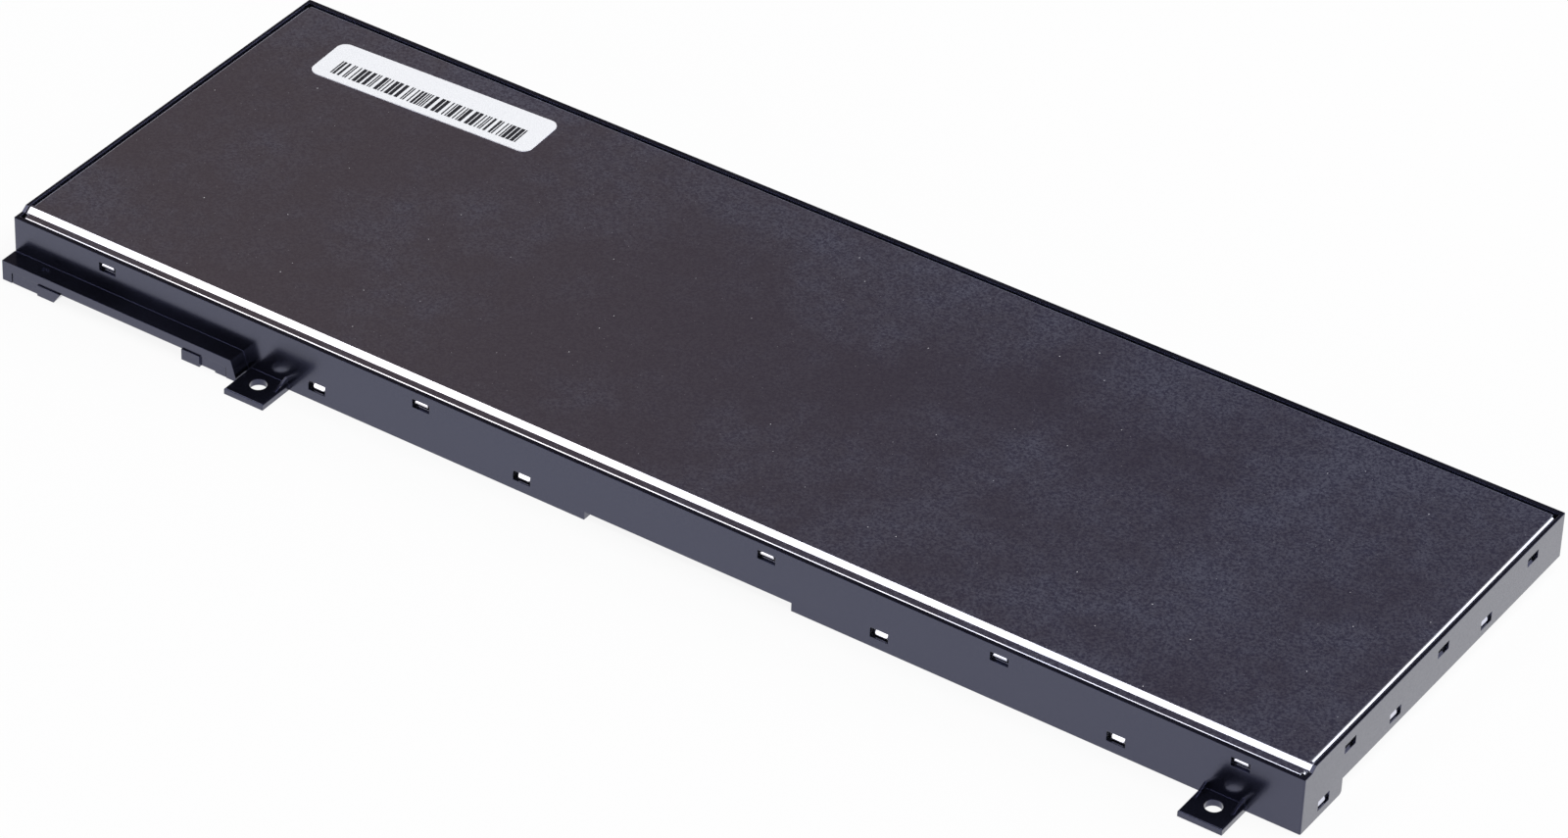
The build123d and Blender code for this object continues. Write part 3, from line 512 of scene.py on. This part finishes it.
# %% Hand out the finishes
for subpart in frame["record"]["subparts"]:
    surfaces = nodes[subpart["node"]].data.materials
    surfaces.clear()
    surfaces.append(finishes[subpart["material_slot"]])

# %% [markdown]
# ## Bars on the code label
#
# The label carries a row of printed bars. A picture of bars would be quick, but it blurs close up, so
# each bar is a thin slab of ink with its own corners. The widths come from a short formula and mean
# nothing: they only have to look as uneven as printed bars do.


# %% Work out the slabs
def mesh_object(name, points, faces, material):
    """A mesh object at the origin, with its place in its points."""
    mesh = bpy.data.meshes.new(name)
    mesh.from_pydata(points.tolist(), [], faces.tolist())
    mesh.update()
    mesh.materials.append(material)
    made = bpy.data.objects.new(name, mesh)
    bpy.context.scene.collection.objects.link(made)
    return made


def slab_row(starts, widths, depths, heights):
    """
    Closed slabs in a row. Each corner of slab i is its start plus 0 or 1 times its width, and one of the
    two depths and of the two heights. A slab's faces are those of the slab before, 8 corners further on.
    """
    across = np.array([0, 1, 1, 0, 0, 1, 1, 0])
    along = np.array([0, 0, 1, 1, 0, 0, 1, 1])
    above = np.array([0, 0, 0, 0, 1, 1, 1, 1])
    x = starts[:, None] + widths[:, None] * across
    y = np.broadcast_to(np.take(depths, along), x.shape)
    z = np.broadcast_to(np.take(heights, above), x.shape)
    box = np.array([[0, 3, 2, 1], [4, 5, 6, 7], [0, 1, 5, 4], [1, 2, 6, 5], [2, 3, 7, 6], [3, 0, 4, 7]])
    faces = box + 8 * np.arange(len(starts))[:, None, None]
    return np.stack((x, y, z), axis=-1).reshape(-1, 3), faces.reshape(-1, 4)


# %% Print the bars
LABEL_TURN = math.radians(2.4)
BAR_COUNT = 48
BAR_FIRST = -20.4 * MM
BAR_LAST = 20.4 * MM
BAR_DEPTHS = np.array([-3.95, 0.5]) * MM
INK_SPREAD = 0.05 * MM
INK_THICKNESS = 0.015 * MM

number = np.arange(BAR_COUNT)
ink_units = 1 + 4 * ((6 * number * number + number) % 19) // 22
gap_units = 1 + 3 * ((9 * number * number + 4 * number) % 23) // 26
ends = np.cumsum(ink_units + gap_units) - gap_units
unit = (BAR_LAST - BAR_FIRST) / ends[-1]

label_low, label_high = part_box("code_label")
label_middle = (label_low + label_high) / 2
ink_heights = np.array([label_high[2], label_high[2] + INK_THICKNESS])
bar_starts = BAR_FIRST + (ends - ink_units) * unit - INK_SPREAD / 2
slabs, slab_faces = slab_row(bar_starts, ink_units * unit + INK_SPREAD, BAR_DEPTHS, ink_heights)
cosine, sine = math.cos(LABEL_TURN), math.sin(LABEL_TURN)
turn = np.array([[cosine, sine], [-sine, cosine]])
slabs[:, :2] = slabs[:, :2] @ turn + np.array(label_middle)[:2]
label_bars = mesh_object("label_bars", slabs, slab_faces, finishes["bar_ink"])
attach(label_bars, "root")
print("bars:", BAR_COUNT, "unit in mm:", round(unit / MM, 3))

# %% [markdown]
# ## Floor
#
# The pack lies on white acrylic that is lit from below, so its walls mirror an even white. Lighting a
# plain floor until it is white would burn out everything else. Instead its material asks what kind of ray
# arrives: rays from the camera and from mirror images see mostly a soft glow, and only a small share sees
# the paint, which keeps the shadow under the pack.

# %% Lay the floor
FLOOR_HALF = 6.0
FLOOR_GLOW = 0.9
FLOOR_PAINT = (0.86, 0.86, 0.87, 1.0)


def glowing_white(name, glow):
    """White paint that keeps shadows, lifted towards white where it is seen directly or in a reflection."""
    material = bpy.data.materials.new(name)
    material.use_nodes = True
    tree = material.node_tree
    tree.nodes.clear()
    path = put(tree, "ShaderNodeLightPath")
    seen = calculate(tree, "MAXIMUM", path.outputs["Is Camera Ray"], path.outputs["Is Glossy Ray"])
    seen = calculate(tree, "MAXIMUM", seen, path.outputs["Is Transmission Ray"])
    paint = put(tree, "ShaderNodeBsdfDiffuse", {"Color": FLOOR_PAINT})
    light = put(tree, "ShaderNodeEmission", {"Strength": 1.0})
    share = calculate(tree, "MULTIPLY", seen, glow)
    mixed = put(tree, "ShaderNodeMixShader", {0: share, 1: paint.outputs[0], 2: light.outputs[0]})
    put(tree, "ShaderNodeOutputMaterial", {"Surface": mixed.outputs[0]})
    return material


floor_corners = np.array([[-1, -1, 0], [1, -1, 0], [1, 1, 0], [-1, 1, 0]]) * FLOOR_HALF
floor_finish = glowing_white("floor_white", FLOOR_GLOW)
floor = mesh_object("floor", floor_corners, np.array([[0, 1, 2, 3]]), floor_finish)
print("floor:", 2 * FLOOR_HALF, "m square")

# %% [markdown]
# ## Lamps
#
# Four soft boxes shape the pack. Three are placed where a bend in the steel mirrors them to the camera:
# one up in front on the left for the ramp along the front edge, one behind on the right for the bend at
# the right end, and a low one in front for the tongues in the windows. The fourth hangs overhead, to the
# right of all that the bends mirror, and lights the label and the floor. A lamp's power is its radiance
# times pi times its area, so a lamp keeps its look when its size changes. They stand far off, so that
# both ends of the pack see them alike.

# %% Hang the lamps
LAMP_DISTANCE = 5.0


def soft_box(name, azimuth, elevation, across, upright, radiance):
    """A rectangular lamp that faces the object and spans these angles there, unseen by the camera."""
    data = bpy.data.lights.new(name, "AREA")
    data.shape = "RECTANGLE"
    data.size = 2.0 * LAMP_DISTANCE * math.tan(math.radians(across / 2.0))
    data.size_y = 2.0 * LAMP_DISTANCE * math.tan(math.radians(upright / 2.0))
    data.energy = radiance * math.pi * data.size * data.size_y
    lamp = bpy.data.objects.new(name, data)
    bpy.context.scene.collection.objects.link(lamp)
    towards = direction(math.radians(azimuth), math.radians(elevation))
    lamp.location = towards * LAMP_DISTANCE
    lamp.rotation_mode = "QUATERNION"
    lamp.rotation_quaternion = (-towards).to_track_quat("-Z", "Y")
    lamp.visible_camera = False


soft_box("ramp_lamp", azimuth=-53.0, elevation=54.5, across=29.0, upright=17.0, radiance=2.4)
soft_box("end_lamp", azimuth=150.0, elevation=31.0, across=40.0, upright=36.0, radiance=1.8)
soft_box("front_lamp", azimuth=-28.0, elevation=12.0, across=46.0, upright=13.0, radiance=1.7)
soft_box("top_lamp", azimuth=90.0, elevation=70.0, across=44.0, upright=44.0, radiance=3.7)
print("lamps:", len(bpy.data.lights))

# %% [markdown]
# ## Room
#
# The rest of the light comes from the room. Its walls are white near the floor and dim higher up, so that
# the flat steel, which mirrors the upper walls, stays dark from every side. A still darker card stands
# along the left side, where the flat steel and the upward faces of the frame mirror it to the camera. The
# card is part of the world shader. It fills one side of the sky, bounded by the ray's x and z, and it is
# a warm grey on its far left and a cool one nearer the middle. Rays straight from the camera see plain
# white.

# %% Paint the room
ROOM_LOW = 1.15
ROOM_HIGH = 0.22
CARD_WARM = (0.074, 0.0615, 0.0695)
CARD_COOL = (0.042, 0.0375, 0.057)
CARD_EDGE = (-0.3, -0.22)
CARD_FOOT = (0.22, 0.42)
CARD_DRIFT = (-0.52, -0.36)
WALL_FADE = (0.08, 0.36)
WHITE = (1.0, 1.0, 1.0)

world = bpy.data.worlds.new("room")
bpy.context.scene.world = world
world.use_nodes = True
room = world.node_tree
room.nodes.clear()
ray = put(room, "ShaderNodeSeparateXYZ", {0: put(room, "ShaderNodeTexCoord").outputs["Generated"]}).outputs
walls = remap(room, ray["Z"], *WALL_FADE, ROOM_LOW, ROOM_HIGH)
card = calculate(
    room,
    "MULTIPLY",
    remap(room, ray["X"], *CARD_EDGE, 1.0, 0.0),
    remap(room, ray["Z"], *CARD_FOOT),
)
card_colour = blend(room, remap(room, ray["X"], *CARD_DRIFT), CARD_WARM, CARD_COOL)
seen_colour = blend(room, card, walls, card_colour)
straight = put(room, "ShaderNodeLightPath").outputs["Is Camera Ray"]
shown = blend(room, straight, seen_colour, WHITE)
background = put(room, "ShaderNodeBackground", {"Color": shown, "Strength": 1.0})
put(room, "ShaderNodeOutputWorld", {"Surface": background.outputs[0]})
print("room: dark card beyond x", CARD_EDGE[0])

# %% [markdown]
# ## Finish
#
# The view transform is set to Standard, so that a colour renders as it is written.

# %% Finish
bpy.context.scene.view_settings.view_transform = "Standard"
